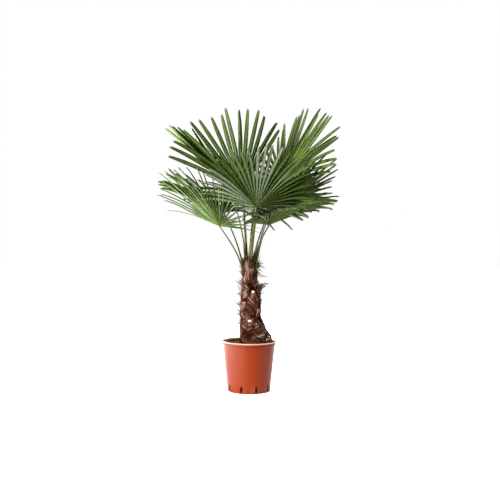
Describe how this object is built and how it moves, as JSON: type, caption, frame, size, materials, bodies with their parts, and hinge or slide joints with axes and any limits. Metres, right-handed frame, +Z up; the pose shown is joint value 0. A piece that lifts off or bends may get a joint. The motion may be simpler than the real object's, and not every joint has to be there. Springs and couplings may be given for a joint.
{
  "type": "potted windmill palm",
  "caption": "Young fan palm with a short fibrous trunk, cut leaf bases and a rounded crown of stiff pleated fans on slender stalks, in a round tapered nursery pot of soil.",
  "frame": {"origin": "centre of the pot's flat underside", "axes": "+Z up along the plant, -Y towards the front of the picture, +X to the picture's right"},
  "size_m": [0.8725, 0.8598, 1.3524],
  "materials": {
    "terracotta_plastic": "smooth semi-matt moulded plastic, terracotta colour",
    "potting_soil": "crumbly bark and peat potting soil, matt",
    "trunk_fibre": "dark brown matted leaf-sheath fibre, rough",
    "cut_leaf_base": "dry light brown cut stalk with a pale end",
    "petiole": "green, smooth, slightly glossy stalk",
    "leaf_blade": "satin green pleated leaf, paler grey-green where it catches the light"
  },
  "bodies": {
    "root": {"pot": "terracotta_plastic", "soil": "potting_soil", "trunk": "trunk_fibre", "leaf_base_01": "cut_leaf_base", "leaf_base_02": "cut_leaf_base", "leaf_base_03": "cut_leaf_base", "leaf_base_04": "cut_leaf_base", "leaf_base_05": "cut_leaf_base", "leaf_base_06": "cut_leaf_base", "leaf_base_07": "cut_leaf_base", "leaf_base_08": "cut_leaf_base", "leaf_base_09": "cut_leaf_base", "leaf_base_10": "cut_leaf_base", "leaf_base_11": "cut_leaf_base", "leaf_base_12": "cut_leaf_base", "leaf_base_13": "cut_leaf_base", "leaf_base_14": "cut_leaf_base", "petiole_front_left": "petiole", "petiole_front": "petiole", "petiole_centre": "petiole", "petiole_upper_right": "petiole", "petiole_lower_right": "petiole", "petiole_upper_left": "petiole", "petiole_back": "petiole", "petiole_back_left": "petiole", "petiole_right": "petiole", "petiole_back_right": "petiole", "blade_front_left": "leaf_blade", "blade_front": "leaf_blade", "blade_centre": "leaf_blade", "blade_upper_right": "leaf_blade", "blade_lower_right": "leaf_blade", "blade_upper_left": "leaf_blade", "blade_back": "leaf_blade", "blade_back_left": "leaf_blade", "blade_right": "leaf_blade", "blade_back_right": "leaf_blade"}
  },
  "joints": []
}
